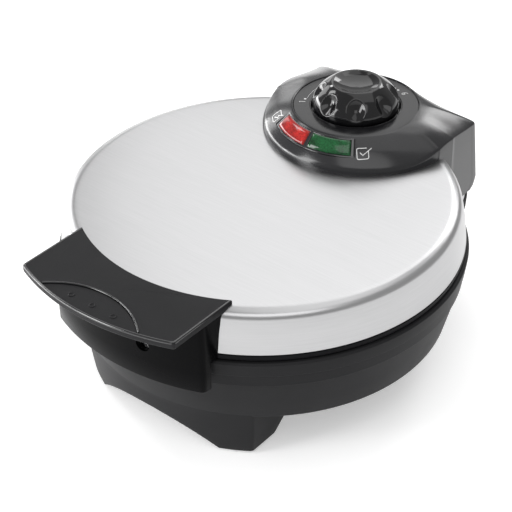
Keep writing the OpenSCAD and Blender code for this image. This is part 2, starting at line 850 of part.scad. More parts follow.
module knob_clip() {
    color("#b0b0b0") placed() translate([0, dial_y, 0]) intersection() {
        translate([0, 0, shaft_foot + 14.1]) cylinder(h = knob_z - shaft_foot - 2, r = shaft_r - lap);
        translate([2.02, -5, shaft_foot + 14.1]) cube([4, 10, 30]);
    }
}

base_shell();
base_rim();
foot_pads();
hinge_ears();
wire_bridge();
hinge_pins();
wire_sleeve();
cord_gland();
lower_plate();
lower_plate_screws();
lower_element();
lower_element_clips();
lower_reflector();
terminal_block();
terminal_screws();
thermal_fuse();
base_wiring();
lid_cover();
lid_ring();
upper_plate();
upper_plate_screws();
upper_element();
upper_element_clips();
upper_reflector();
hinge_bracket();
bracket_screws();
lid_handle();
thumb_pad();
handle_screws();
control_housing();
housing_screws();
dial_plate();
lamp_bezel();
red_lens();
green_lens();
lamp_holder();
indicator_lamps();
thermostat();
thermostat_bracket();
thermostat_screws();
lid_wiring();
pressure_pin();
knob();
knob_shaft();
knob_clip();
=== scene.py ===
"""Looks of a round electric waffle maker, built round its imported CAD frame.

Shapes are worked out in millimetres in the lid's own frame (lid axis at x = 0, y = 0) and
placed in the row frame, in metres, by point().
"""
import json
import math

import bmesh
import bpy
from mathutils import Matrix, Vector

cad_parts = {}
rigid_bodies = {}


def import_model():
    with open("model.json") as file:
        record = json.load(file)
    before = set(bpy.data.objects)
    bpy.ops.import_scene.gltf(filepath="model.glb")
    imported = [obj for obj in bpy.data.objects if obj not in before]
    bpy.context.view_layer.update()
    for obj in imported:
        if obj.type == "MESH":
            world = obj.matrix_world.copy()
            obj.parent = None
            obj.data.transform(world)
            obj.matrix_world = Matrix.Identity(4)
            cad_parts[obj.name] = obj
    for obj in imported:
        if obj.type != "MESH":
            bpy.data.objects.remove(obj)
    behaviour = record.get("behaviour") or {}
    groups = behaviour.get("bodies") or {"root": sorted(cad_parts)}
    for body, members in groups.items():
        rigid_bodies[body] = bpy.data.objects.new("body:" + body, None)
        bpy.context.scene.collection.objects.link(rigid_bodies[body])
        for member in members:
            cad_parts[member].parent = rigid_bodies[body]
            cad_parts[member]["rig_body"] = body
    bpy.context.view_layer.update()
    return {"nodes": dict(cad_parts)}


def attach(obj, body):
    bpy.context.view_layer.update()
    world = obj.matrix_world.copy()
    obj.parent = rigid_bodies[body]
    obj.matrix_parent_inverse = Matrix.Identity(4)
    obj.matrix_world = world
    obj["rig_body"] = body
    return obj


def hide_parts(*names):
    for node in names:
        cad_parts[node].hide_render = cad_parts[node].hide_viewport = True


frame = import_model()

MM = 0.001
CENTRE_Y = 3.65          # lid axis in the row frame
DIAL_Y, DIAL_TOP = 88.5, 121.25
HINGE = (127.5, 55.5)    # y, z
SHARP_EDGE = 32          # degrees: steeper edges stay crisp
BEVEL_EDGE = 35          # degrees: steeper edges of a CAD node are rounded


def point(x, y, z):
    return Vector((x * MM, (y + CENTRE_Y) * MM, z * MM))


# ------------------------------------------------------------------ mesh kit

def piece(name, verts, faces, body, slot, material, replaces=(), uv=None):
    """A mesh object in the row frame. verts are in millimetres."""
    mesh = bpy.data.meshes.new(name)
    mesh.from_pydata([point(*v) for v in verts], [], faces)
    bm = bmesh.new()
    bm.from_mesh(mesh)
    bmesh.ops.remove_doubles(bm, verts=bm.verts, dist=1e-7)
    bmesh.ops.dissolve_degenerate(bm, edges=bm.edges, dist=1e-8)
    bmesh.ops.recalc_face_normals(bm, faces=bm.faces)
    bm.to_mesh(mesh)
    bm.free()
    shade(mesh, SHARP_EDGE)
    if uv:
        layer = mesh.uv_layers.new(name="brush")
        for loop in mesh.loops:
            layer.data[loop.index].uv = uv(mesh.vertices[loop.vertex_index].co)
    obj = bpy.data.objects.new(name, mesh)
    bpy.context.scene.collection.objects.link(obj)
    mesh.materials.append(material)
    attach(obj, body)
    if replaces:
        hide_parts(*replaces)
    return obj


def shade(mesh, degrees):
    """Smooth shading with edges sharper than the angle kept crisp and end faces kept flat."""
    bm = bmesh.new()
    bm.from_mesh(mesh)
    limit = math.radians(degrees)
    for f in bm.faces:
        f.smooth = len(f.verts) < 5
    for e in bm.edges:
        e.smooth = len(e.link_faces) == 2 and e.calc_face_angle(0.0) < limit
    bm.to_mesh(mesh)
    bm.free()


def loft(rings, wrap=True, caps=(True, True), loop=False):
    """Quads between rings of equal length. wrap closes each ring, caps close the first and last ring,
    and loop joins the last ring back to the first."""
    n = len(rings[0])
    verts = [v for ring in rings for v in ring]
    faces = []
    count = len(rings)
    for i in range(count if loop else count - 1):
        a, b = i * n, ((i + 1) % count) * n
        for j in range(n if wrap else n - 1):
            k = (j + 1) % n
            faces.append((a + j, a + k, b + k, b + j))
    if not loop and caps[0]:
        faces.append(tuple(reversed(range(n))))
    if not loop and caps[1]:
        faces.append(tuple(range((count - 1) * n, count * n)))
    return verts, faces


def together(*parts):
    """Several (verts, faces) in one."""
    verts, faces = [], []
    for v, f in parts:
        base = len(verts)
        verts += v
        faces += [tuple(i + base for i in face) for face in f]
    return verts, faces


def moved(part, move):
    return [tuple(move(*v)) for v in part[0]], part[1]


def rounded(points, closed=False, steps=5):
    """2D points (u, v) or (u, v, radius): each corner with a radius becomes an arc."""
    out = []
    n = len(points)
    for i, p in enumerate(points):
        r = p[2] if len(p) > 2 else 0.0
        b = Vector(p[:2])
        if r <= 0 or (not closed and i in (0, n - 1)):
            out.append(tuple(b))
            continue
        a, c = Vector(points[i - 1][:2]), Vector(points[(i + 1) % n][:2])
        u, w = (a - b).normalized(), (c - b).normalized()
        half = math.acos(max(-1, min(1, u.dot(w)))) / 2
        cut = min(r / math.tan(half), 0.49 * (a - b).length, 0.49 * (c - b).length)
        r = cut * math.tan(half)
        centre = b + (u + w).normalized() * (r / math.sin(half))
        s, e = b + u * cut - centre, b + w * cut - centre
        turn = math.atan2(s.x * e.y - s.y * e.x, s.dot(e))
        for k in range(steps + 1):
            q = turn * k / steps
            out.append((centre.x + s.x * math.cos(q) - s.y * math.sin(q),
                        centre.y + s.x * math.sin(q) + s.y * math.cos(q)))
    return out


def curve_through(points, steps=6):
    """A smooth curve through 2D points."""
    ends = [points[0]] + list(points) + [points[-1]]
    out = []
    for a, b, c, d in zip(ends, ends[1:], ends[2:], ends[3:]):
        for k in range(steps):
            t = k / steps
            out.append(tuple(0.5 * (2 * q + (r - p) * t + (2 * p - 5 * q + 4 * r - s) * t * t +
                                    (3 * q - p - 3 * r + s) * t ** 3) for p, q, r, s in zip(a, b, c, d)))
    return out + [tuple(points[-1])]


def lathe(profile, n=192, centre=(0, 0), closed=True, steps=5):
    """Turns a profile of (r, z[, radius]) about a vertical axis. A closed profile is a loop."""
    section = rounded(profile, closed, steps)
    rings = []
    for j in range(n):
        q = 2 * math.pi * j / n
        c, s = math.cos(q), math.sin(q)
        rings.append([(centre[0] + r * c, centre[1] + r * s, z) for r, z in section])
    return loft(rings, wrap=closed, loop=True)


def inset(loop, d):
    """A closed 2D loop moved inwards by d (counter-clockwise loops)."""
    out = []
    n = len(loop)
    for i in range(n):
        a, b, c = Vector(loop[i - 1]), Vector(loop[i]), Vector(loop[(i + 1) % n])
        u, w = (b - a), (c - b)
        if u.length < 1e-6 or w.length < 1e-6:
            u = w = c - a
        u, w = u.normalized(), w.normalized()
        nu, nw = Vector((-u.y, u.x)), Vector((-w.y, w.x))
        m = nu + nw
        m = m / max(0.3, m.dot(nu))
        out.append((b.x + m.x * d, b.y + m.y * d))
    return out


def slab(outline, z0, z1, low=0.0, top=0.0, steps=4):
    """A plate with rounded upper and lower edges from a counter-clockwise outline."""
    rings = []
    for k in range(steps + 1 if low else 1):
        q = math.pi / 2 * k / steps if low else math.pi / 2
        rings.append((low * (1 - math.sin(q)), z0 + low * (1 - math.cos(q))))
    for k in range(steps + 1 if top else 1):
        q = math.pi / 2 * k / steps if top else 0
        rings.append((top * (1 - math.cos(q)), z1 - top * (1 - math.sin(q))))
    return loft([[(x, y, z) for x, y in inset(outline, d)] for d, z in rings])


def disc(x, y, z0, z1, r, edge=0.0, n=48):
    return slab([(x + r * math.cos(2 * math.pi * i / n), y + r * math.sin(2 * math.pi * i / n))
                 for i in range(n)], z0, z1, 0, edge)


def tube(path, r):
    """A round tube along points in space."""
    n = 14
    pts = [Vector(p) for p in path]
    rings = []
    side = None
    for i, p in enumerate(pts):
        t = (pts[min(i + 1, len(pts) - 1)] - pts[max(i - 1, 0)]).normalized()
        if side is None:
            side = t.orthogonal().normalized()
        side = (side - t * side.dot(t)).normalized()
        up = t.cross(side)
        rings.append([tuple(p + side * (r * math.cos(2 * math.pi * k / n)) +
                            up * (r * math.sin(2 * math.pi * k / n))) for k in range(n)])
    return loft(rings)


def smooth_path(points, radius):
    """Rounds the corners of a path in space."""
    steps = 6
    out = [Vector(points[0])]
    for i in range(1, len(points) - 1):
        a, b, c = Vector(points[i - 1]), Vector(points[i]), Vector(points[i + 1])
        u, w = a - b, c - b
        cut = min(radius, u.length * 0.45, w.length * 0.45)
        s, e = b + u.normalized() * cut, b + w.normalized() * cut
        for k in range(steps + 1):
            t = k / steps
            out.append(s * (1 - t) ** 2 + b * 2 * t * (1 - t) + e * t * t)
    out.append(Vector(points[-1]))
    return out


def subtract(obj, part):
    """Takes a closed (verts, faces) away from obj's mesh."""
    mesh = bpy.data.meshes.new("cutter")
    mesh.from_pydata([point(*v) for v in part[0]], [], part[1])
    bm = bmesh.new()
    bm.from_mesh(mesh)
    bmesh.ops.recalc_face_normals(bm, faces=bm.faces)
    bm.to_mesh(mesh)
    bm.free()
    tool = bpy.data.objects.new("cutter", mesh)
    bpy.context.scene.collection.objects.link(tool)
    mod = obj.modifiers.new("cut", "BOOLEAN")
    mod.operation, mod.solver, mod.object = "DIFFERENCE", "EXACT", tool
    bpy.context.view_layer.update()
    done = bpy.data.meshes.new_from_object(obj.evaluated_get(bpy.context.evaluated_depsgraph_get()))
    obj.modifiers.clear()
    material = obj.data.materials[0]
    obj.data = done
    obj.data.materials.clear()
    obj.data.materials.append(material)
    bpy.data.objects.remove(tool)
    shade(obj.data, SHARP_EDGE)
    return obj


def softened(node, material, width):
    """A copy of a CAD node with its hard edges rounded; it stands for the node."""
    source = frame["nodes"][node]
    mesh = source.data.copy()
    mesh.name = node + "_shape"
    bm = bmesh.new()
    bm.from_mesh(mesh)
    bmesh.ops.remove_doubles(bm, verts=bm.verts, dist=2e-6)
    bmesh.ops.dissolve_limit(bm, angle_limit=math.radians(1.5), verts=bm.verts, edges=bm.edges)
    bmesh.ops.recalc_face_normals(bm, faces=bm.faces)
    bm.to_mesh(mesh)
    bm.free()
    mesh.materials.clear()
    mesh.materials.append(material)
    obj = bpy.data.objects.new(node + "_piece", mesh)
    bpy.context.scene.collection.objects.link(obj)
    mod = obj.modifiers.new("edges", "BEVEL")
    mod.width, mod.segments, mod.limit_method = width * MM, 3, "ANGLE"
    mod.angle_limit = math.radians(BEVEL_EDGE)
    mod.harden_normals = False
    mod.use_clamp_overlap = True
    bpy.context.view_layer.update()
    obj.data = bpy.data.meshes.new_from_object(
        obj.evaluated_get(bpy.context.evaluated_depsgraph_get()))
    obj.modifiers.clear()
    shade(obj.data, BEVEL_EDGE)
    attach(obj, source["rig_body"])
    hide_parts(node)
    return obj


# ------------------------------------------------------------------ materials

EVEN = (1, 1, 1)


def noise(mat, space, scale, stretch=EVEN, detail=4.0):
    """A noise texture in a stretched copy of the material's Object or UV coordinates."""
    nodes, links = mat.node_tree.nodes, mat.node_tree.links
    coords = next(n for n in nodes if n.type == "TEX_COORD")
    place = nodes.new("ShaderNodeMapping")
    place.inputs["Scale"].default_value = stretch
    links.new(coords.outputs[space], place.inputs["Vector"])
    tex = nodes.new("ShaderNodeTexNoise")
    tex.inputs["Scale"].default_value = scale
    tex.inputs["Detail"].default_value = detail
    links.new(place.outputs["Vector"], tex.inputs["Vector"])
    return tex.outputs["Fac"]


def remap(mat, value, low, high, start=0.3, end=0.7):
    """Takes the range start to end of a value to the range low to high."""
    node = mat.node_tree.nodes.new("ShaderNodeMapRange")
    for socket, number in (("From Min", start), ("From Max", end), ("To Min", low), ("To Max", high)):
        node.inputs[socket].default_value = number
    mat.node_tree.links.new(value, node.inputs["Value"])
    return node.outputs["Result"]


def mix_base(mat, factor, dark, light):
    """Runs the base colour from dark to light with a factor."""
    nodes, links = mat.node_tree.nodes, mat.node_tree.links
    mix = nodes.new("ShaderNodeMix")
    mix.data_type = "RGBA"
    mix.inputs[6].default_value = (*dark, 1)
    mix.inputs[7].default_value = (*light, 1)
    links.new(factor, mix.inputs[0])
    links.new(mix.outputs[2], nodes["Principled BSDF"].inputs["Base Color"])


def scaled(color, k):
    return [min(1, c * k) for c in color]


def material(name, color, rough, metal=0.0, coat=0.0, coat_rough=0.1, spec=0.5, aniso=0.0,
             grain=None, blotch=None):
    """A Principled material. grain is (scale, bump distance in mm, stretch) of a fine surface texture;
    blotch is (scale, amount) of a slow change in colour and roughness."""
    mat = bpy.data.materials.new(name)
    mat.use_nodes = True
    nodes, links = mat.node_tree.nodes, mat.node_tree.links
    shader = nodes["Principled BSDF"]
    shader.inputs["Metallic"].default_value = metal
    shader.inputs["Roughness"].default_value = rough
    shader.inputs["Specular IOR Level"].default_value = spec
    shader.inputs["Coat Weight"].default_value = coat
    shader.inputs["Coat Roughness"].default_value = coat_rough
    shader.inputs["Anisotropic"].default_value = aniso
    shader.inputs["Base Color"].default_value = (*color, 1)
    nodes.new("ShaderNodeTexCoord")
    if blotch:
        scale, amount = blotch
        slow = remap(mat, noise(mat, "Object", scale), rough * (1 - amount), rough * (1 + amount))
        links.new(slow, shader.inputs["Roughness"])
        mix_base(mat, remap(mat, noise(mat, "Object", scale * 1.7, detail=6), 0, 1),
                 scaled(color, 1 - amount), scaled(color, 1 + amount))
    if grain:
        scale, height, stretch = grain
        bump = nodes.new("ShaderNodeBump")
        bump.inputs["Strength"].default_value = 1.0
        bump.inputs["Distance"].default_value = height * MM
        links.new(noise(mat, "Object", scale, stretch, 3.0), bump.inputs["Height"])
        links.new(bump.outputs["Normal"], shader.inputs["Normal"])
    return mat


def brushed(name, color, rough, aniso, across):
    """Linear-brushed metal: streaks run along the brush UV map's first direction."""
    mat = material(name, color, rough, metal=1.0, aniso=aniso)
    nodes, links = mat.node_tree.nodes, mat.node_tree.links
    shader = nodes["Principled BSDF"]
    fine = noise(mat, "UV", across, (0.03, 1, 1), 2)
    wide = noise(mat, "UV", across * 0.09, (0.05, 1, 1), 3)
    links.new(remap(mat, fine, rough * 0.93, rough * 1.07), shader.inputs["Roughness"])
    half = nodes.new("ShaderNodeMath")
    half.operation = "MULTIPLY"
    half.inputs[1].default_value = 0.5
    links.new(remap(mat, fine, 0, 1, 0.36, 0.64), half.inputs[0])
    blend = nodes.new("ShaderNodeMath")
    blend.operation = "MULTIPLY_ADD"
    blend.inputs[1].default_value = 0.5
    links.new(wide, blend.inputs[0])
    links.new(half.outputs[0], blend.inputs[2])
    mix_base(mat, blend.outputs[0], scaled(color, 0.95), scaled(color, 1.05))
    bump = nodes.new("ShaderNodeBump")
    bump.inputs["Distance"].default_value = 0.003 * MM
    links.new(fine, bump.inputs["Height"])
    links.new(bump.outputs["Normal"], shader.inputs["Normal"])
    tangent = nodes.new("ShaderNodeTangent")
    tangent.direction_type, tangent.uv_map = "UV_MAP", "brush"
    links.new(tangent.outputs["Tangent"], shader.inputs["Tangent"])
    return mat


STEEL = brushed("lid_steel", (0.46, 0.46, 0.465), 0.3, 0.25, 1150)
PLAIN_STEEL = material("plain_steel", (0.55, 0.55, 0.56), 0.32, metal=1, grain=(900, 0.01, (1, 1, 0.1)),
                       blotch=(60, 0.12))
BASE = material("base_moulding", (0.0185, 0.0185, 0.0195), 0.45, spec=0.09, grain=(2600, 0.012, EVEN),
                blotch=(18, 0.08))
RIM = material("rim_moulding", (0.0175, 0.0175, 0.0185), 0.4, spec=0.07, grain=(2600, 0.008, EVEN),
               blotch=(18, 0.08))
RING = material("ring_moulding", (0.006, 0.006, 0.007), 0.3, spec=0.05, grain=(2200, 0.006, EVEN),
                blotch=(25, 0.1))
TEXTURED = material("textured_plastic", (0.0125, 0.0125, 0.0135), 0.48, spec=0.13, grain=(3000, 0.03, EVEN),
                    blotch=(30, 0.08))
GLOSS = material("gloss_black", (0.003, 0.003, 0.0033), 0.16, spec=0.035, grain=(140, 0.02, EVEN),
                 blotch=(20, 0.12))
TRIM = material("gloss_trim", (0.004, 0.004, 0.005), 0.12, spec=0.9, grain=(400, 0.006, EVEN),
                blotch=(60, 0.1))
HOUSING = material("housing_plastic", (0.014, 0.014, 0.0155), 0.19, spec=0.5, grain=(1800, 0.006, EVEN),
                   blotch=(22, 0.08))
DIAL = material("dial_plastic", (0.006, 0.006, 0.007), 0.2, spec=0.38, grain=(3000, 0.006, EVEN),
                blotch=(30, 0.06))
KNOB = material("knob_plastic", (0.003, 0.003, 0.0035), 0.09, spec=0.5, grain=(120, 0.004, EVEN),
                blotch=(30, 0.1))
PAD_RUBBER = material("pad_rubber", (0.012, 0.012, 0.012), 0.7, spec=0.2, grain=(2500, 0.05, EVEN),
                      blotch=(60, 0.15))
COATING = material("plate_coating", (0.018, 0.018, 0.02), 0.36, metal=0.35, grain=(1500, 0.02, EVEN),
                   blotch=(25, 0.15))
SHEATH = material("element_sheath", (0.13, 0.11, 0.1), 0.42, metal=1, grain=(700, 0.02, EVEN),
                  blotch=(45, 0.35))
SHEET = material("sheet_aluminium", (0.66, 0.66, 0.65), 0.3, metal=1, grain=(500, 0.01, (1, 0.05, 1)),
                 blotch=(30, 0.1))
CREAM = material("cream_plastic", (0.6, 0.56, 0.46), 0.45, grain=(1500, 0.02, EVEN), blotch=(60, 0.08))
BRASS = material("brass", (0.68, 0.5, 0.22), 0.3, metal=1, grain=(900, 0.01, EVEN), blotch=(80, 0.15))
BRAID = material("braided_sleeve", (0.5, 0.48, 0.4), 0.7, grain=(1600, 0.15, (1, 1, 2)), blotch=(200, 0.2))
BLACK_STEEL = material("black_steel", (0.015, 0.015, 0.015), 0.4, metal=0.5, grain=(1200, 0.02, EVEN),
                       blotch=(40, 0.12))
PRINT = material("pale_print", (0.62, 0.62, 0.62), 0.5, grain=(2500, 0.01, EVEN), blotch=(300, 0.08))


def lens_material(name, color):
    """Clear tinted plastic with a grained back: fine dark and light specks under a smooth gloss."""
    mat = material(name, color, 0.12, coat=0.25, coat_rough=0.05, spec=0.35)
    nodes, links = mat.node_tree.nodes, mat.node_tree.links
    both = nodes.new("ShaderNodeMath")
    both.operation = "MULTIPLY"
    links.new(noise(mat, "Object", 1500, detail=2), both.inputs[0])
    links.new(noise(mat, "Object", 130, detail=2), both.inputs[1])
    mix_base(mat, remap(mat, both.outputs[0], 0, 1, 0.14, 0.4), [c * 0.45 for c in color],
             [min(1, c * 1.8 + 0.004) for c in color])
    return mat


RED = lens_material("red_lens_plastic", (0.26, 0.009, 0.007))
GREEN = lens_material("green_lens_plastic", (0.003, 0.055, 0.014))
GLOW = material("lamp_glass", (0.75, 0.5, 0.3), 0.08, coat=1, grain=(400, 0.02, EVEN), blotch=(90, 0.1))

# ------------------------------------------------------------------ lid


TOP_R, WALL_R = 0.108, 0.115     # metres: where the flat top ends, and the wall


def brush_uv(co):
    """Straight strokes on the top that carry on round the wall."""
    x, y = co.x, co.y - CENTRE_Y * MM
    r = math.hypot(x, y)
    if r < TOP_R:
        return x, y
    return math.atan2(y, x) * WALL_R, co.z


# a full disc: the holes of the CAD's cover, for the screws, wires and thermostat, are not cut
lid_top = lathe([
    (0, 104.8), (40, 104.8), (80, 104.8), (104, 104.8), (107.4, 104.7, 9), (112.6, 102.6, 9), (114.6, 92),
    (116.0, 79.6, 0.5), (115.0, 79.4, 0.3), (111.6, 101.2, 2), (106.3, 103.9, 2), (0, 103.9)
], 256, closed=False, steps=8)
piece("lid_cover_steel", *lid_top, "lid", "lid_steel", STEEL, replaces=["lid_cover"], uv=brush_uv)
piece("lid_ring_black", *lathe([
    (110.5, 75.9), (115.6, 75.9, 0.5), (116.0, 76.6, 0.4), (116.0, 79.2, 0.4), (113.6, 79.3),
    (113.6, 88), (110.5, 88)
], 192), "lid", "ring_plastic", RING, replaces=["lid_ring"])

# ------------------------------------------------------------------ base


UNDERSIDE, UNDERSIDE_R = 30.4, 107.8     # height of the body's underside, and its radius there
FOOT_X = 43.4                            # inner side of the feet, where the chin starts
FOOT_TOP, FOOT_LOW = 31.5, 1.6           # feet and chin end inside the body and just off the table
ARCH_R, ARCH_Z = 62, -42.8               # circle of the arch in the chin


def body_r(z):
    """Outer radius of the base body, and of the feet below it, at height z."""
    if z < UNDERSIDE:
        return UNDERSIDE_R - 3.8 + 3.8 * z / UNDERSIDE
    return UNDERSIDE_R + 7 * (z - UNDERSIDE) / 27.8


piece("rim_band", *lathe([
    (108.4, 70.2), (108.4, 72.7), (110.6, 72.7), (110.6, 75.2, 0.4), (117.0, 75.3, 0.8), (118, 74.3, 0.9),
    (117.0, 66.4, 0.25), (116.5, 65.9, 0.25), (115.8, 58.9, 0.5), (115.0, 58.2, 0.4), (113, 58.2), (113, 70.2)
], 224), "base", "rim_plastic", RIM, replaces=["base_rim"])

bottom = lathe([
    (0, UNDERSIDE), (60, UNDERSIDE), (UNDERSIDE_R, UNDERSIDE, 1.4), (111.3, 44.3), (114.6, 58.3),
    (112.2, 58.3), (112.2, 63.8, 0.5), (110.6, 63.8, 0.5), (110.6, 58), (105.2, 33, 2), (0, 33)
], 224, closed=False)
base_shell = piece("base_body", *bottom, "base", "base_plastic", BASE, replaces=["base_shell"])
slots = [slab(rounded([(i * 10 - 1.75, s * 36 - 14, 1.7), (i * 10 + 1.75, s * 36 - 14, 1.7),
                       (i * 10 + 1.75, s * 36 + 14, 1.7), (i * 10 - 1.75, s * 36 + 14, 1.7)], True), 28, 36)
         for s in (-1, 1) for i in range(-4, 5)]
screw_holes = [disc(96 * math.cos(math.radians(a)), 96 * math.sin(math.radians(a)), 28, 37, 4.2)
               for a in (45, 135, 225, 315)]
subtract(base_shell, together(*slots, *screw_holes))


def foot(side, back):
    """One foot: a block that widens upwards, with rounded corners and a sloping inner end."""
    rings = []
    levels = [(FOOT_LOW, 0.9), (1.75, 0.45), (2.2, 0.12), (2.9, 0), (9, 0), (16, 0), (23, 0), (FOOT_TOP, 0)]
    for z, d in levels:
        r = body_r(z) - d
        x0, x1 = FOOT_X + d, 60.0 + 0.11 * z - d
        y1 = -64.3 + max(0, z - FOOT_LOW) * 0.93 - d
        arc = [(x, -math.sqrt(r * r - x * x)) for x in [x0 + (x1 - x0) * k / 8 for k in range(9)]]
        loop = rounded([arc[0], *arc[1:8], (*arc[8], 4.0), (x1, (arc[8][1] + y1) / 2), (x1, y1, 3.0),
                        (x0 + 2, y1, 3.0)], True, 6)
        rings.append([(side * x, back * y, z) for x, y in loop])
    return loft(rings)


def chin():
    """The thin wall between the front feet, with its arch."""
    columns = []
    n = 48
    edge = 1.2
    for i in range(n + 1):
        x = -FOOT_X + 2 * FOOT_X * i / n
        low = max(FOOT_LOW, math.sqrt(ARCH_R ** 2 - x * x) + ARCH_Z)
        front = [(z, math.sqrt(body_r(z) ** 2 - x * x)) for z in
                 [FOOT_TOP + (low + edge - FOOT_TOP) * k / 8 for k in range(9)]]
        curve = [(low + edge - edge * math.sin(q),
                  math.sqrt(body_r(low) ** 2 - x * x) - edge + edge * math.cos(q))
                 for q in (0.4, 0.8, 1.2, math.pi / 2)]
        back = [(low, curve[-1][1] - 2.6), (FOOT_TOP, front[0][1] - 3.8)]
        columns.append([(x, -y, z) for z, y in front + curve + back])
    return loft(columns)


piece("front_chin", *chin(), "base", "base_plastic", BASE)
for label, side, back in (("front_left", -1, 1), ("front_right", 1, 1),
                          ("rear_left", -1, -1), ("rear_right", 1, -1)):
    piece("foot_" + label, *foot(side, back), "base", "base_plastic", BASE)
piece("rubber_pads", *together(*[
    lathe([(0, 0), (5.9, 0, 0.4), (6.5, 0.5, 0.3), (6.5, 1.7), (0, 1.7)], 40, (x * 52.5, y * 78), False)
    for x in (-1, 1) for y in (-1, 1)]), "base", "pad_rubber", PAD_RUBBER, replaces=["foot_pads"])

# ------------------------------------------------------------------ handle


def arc_points(r, cy, x0, x1, n, top=False):
    """Points of a circle centred on (0, cy) between two x values; top picks its rear half."""
    sign = 1 if top else -1
    return [(x0 + (x1 - x0) * k / n, cy + sign * math.sqrt(r * r - (x0 + (x1 - x0) * k / n) ** 2))
            for k in range(n + 1)]


HANDLE_R, HANDLE_Y = 142.6, -3.2     # circle of the handle's front edge
NOTCH_R, NOTCH_Y = 50, -176.3        # circle of the rear edge of the thumb pad's place


def plate_outline(notch):
    """Handle plate from above, counter-clockwise from the front left corner."""
    front = arc_points(HANDLE_R, HANDLE_Y, -53.8, 53.8, 60)
    if notch:
        left = [p for p in front if p[0] < -34.6]
        right = [p for p in front if p[0] > 34.6]
        lens = arc_points(NOTCH_R, NOTCH_Y, -34.4, 34.4, 44, True)
        front = left + [(*lens[0], 0.2)] + lens[1:-1] + [(*lens[-1], 0.2)] + right
    rear = arc_points(105.3, 0, 54.0, -54.0, 60)
    corners = [(*front[0], 1.6)] + front[1:-1] + [(*front[-1], 1.6)] + [(*rear[0], 1.0)] + rear[1:-1] + \
        [(*rear[-1], 1.0)]
    return rounded(corners, True, 4)


low_outline = plate_outline(False)
plate = together(slab(low_outline, 102.6, 105.9, low=0.9),
                 slab(inset(plate_outline(True), 0.03), 105.7, 107.0, top=0.55))
piece("handle_plate", *plate, "lid", "handle_plastic", TEXTURED)
thumb = arc_points(HANDLE_R + 0.15, HANDLE_Y, -34.0, 34.0, 56)[1:-1]
thumb_rear = arc_points(NOTCH_R - 0.4, NOTCH_Y, 33.9, -33.9, 44, True)
piece("thumb_pad_inlay", *slab(rounded(thumb + thumb_rear, True), 104.6, 106.55, low=0.5, top=0.7, steps=6),
      "lid", "thumb_plastic", TEXTURED, replaces=["thumb_pad"])
for i, x in enumerate((-14.8, 0, 14.8)):
    ring = moved(lathe([(1.0, 106.4), (2.0, 106.4), (1.9, 106.72, 0.2), (1.5, 106.86, 0.2),
                        (1.1, 106.72, 0.2)], 32),
                 lambda a, b, c, x=x: (a + x, b - 137.6, c))
    piece("thumb_dot_%d" % (i + 1), *ring, "lid", "thumb_plastic", TEXTURED)

BEAD_Z = 106.3
piece("thumb_pad_beads", *together(
    tube([(x, y, 106.85) for x, y in arc_points(NOTCH_R - 0.1, NOTCH_Y, -34.1, 34.1, 56, True)], 0.6),
    tube(smooth_path([(-53.0, y, BEAD_Z) for y in (-91.6, -114, -134.4)] +
                     [(x, y, BEAD_Z) for x, y in arc_points(HANDLE_R - 0.7, HANDLE_Y, -51.4, 51.4, 40)] +
                     [(53.0, y, BEAD_Z) for y in (-134.4, -114, -91.6)], 1.2), 0.9)),
      "lid", "thumb_plastic", TRIM)


def skirt():
    """The handle's skirt as a bent wall: it follows the front arc and turns back to the lid."""
    cx, r = 53.4, 136.5
    y_edge = 11.1 - math.sqrt(r * r - cx * cx)
    path = rounded([(-cx, -99), (-cx, -108.8), (-cx, -109.0), (-cx, y_edge, 4.5)] +
                   arc_points(r, 11.1, -cx + 6, cx - 6, 60) +
                   [(cx, y_edge, 4.5), (cx, -109.0), (cx, -108.8), (cx, -99)], False, 8)
    columns = []
    n = len(path)
    for i, (x, y) in enumerate(path):
        a, b = Vector(path[max(i - 1, 0)]), Vector(path[min(i + 1, n - 1)])
        t = (b - a).normalized()
        nx, ny = -t.y, t.x
        low = 76.5 if y > -108.9 else 60.0
        e = 0.5
        columns.append([
            (x, y, 102.8), (x, y, 95), (x, y, 85), (x, y, (low + 85) / 2), (x, y, low + e),
            (x + nx * 0.15, y + ny * 0.15, low + 0.15), (x + nx * e, y + ny * e, low),
            (x + nx * 2.4, y + ny * 2.4, low), (x + nx * 2.8, y + ny * 2.8, low + 0.4),
            (x + nx * 2.8, y + ny * 2.8, 102.8)])
    return loft(columns)


WELL_X, WELL_Z = (-20, 20), 82   # the two screw wells in the skirt
skirt_obj = piece("handle_skirt", *skirt(), "lid", "handle_plastic", GLOSS, replaces=["lid_handle"])


def along_y(part, x, z, y0):
    """Turns a vertical lathe part so that its axis runs along +Y from y0."""
    return moved(part, lambda a, b, c: (a + x, c + y0, -b + z))


subtract(skirt_obj, together(*[
    along_y(lathe([(0, 0), (4, 0), (4, 12), (0, 12)], 48, closed=False), x, WELL_Z, -132)
    for x in WELL_X]))
piece("screw_wells", *together(*[
    along_y(lathe([(0, 0.4), (4.15, 0.4), (4.15, -7.8, 0.3), (5.4, -7.2, 0.2), (5.4, 5), (0, 5)],
                  48, closed=False), x, WELL_Z, -115.6)
    for x in WELL_X]), "lid", "handle_plastic", GLOSS)

# ------------------------------------------------------------------ control housing

PARTING_CUT = 102.4      # the rim of the base keeps the housing behind this y below the lid
FRONT_R, FRONT_Y = 60.8, 96.3   # circle of the housing's front half, seen from above
HALF_W, BACK_Y = 60.5, 131.5    # half width behind it, and the rear edge
CREASE = curve_through([(33, 108.4), (52, 108.4), (68, 108.6), (77, 109.8), (85, 111.6), (92, 112.8),
                        (99, 113.0), (108, 112.2), (120, 110.5), (BACK_Y, 109.6)], 10)


def crease_height(y):
    """Height of the housing's upper edge along its outline."""
    for (y0, z0), (y1, z1) in zip(CREASE, CREASE[1:]):
        if y <= y1:
            return z0 + (z1 - z0) * max(0, (y - y0)) / (y1 - y0)
    return CREASE[-1][1]


def half_width(y):
    """Half the housing's width at y, behind its front circle."""
    return HALF_W - 3 * (y - 98) / 40.5


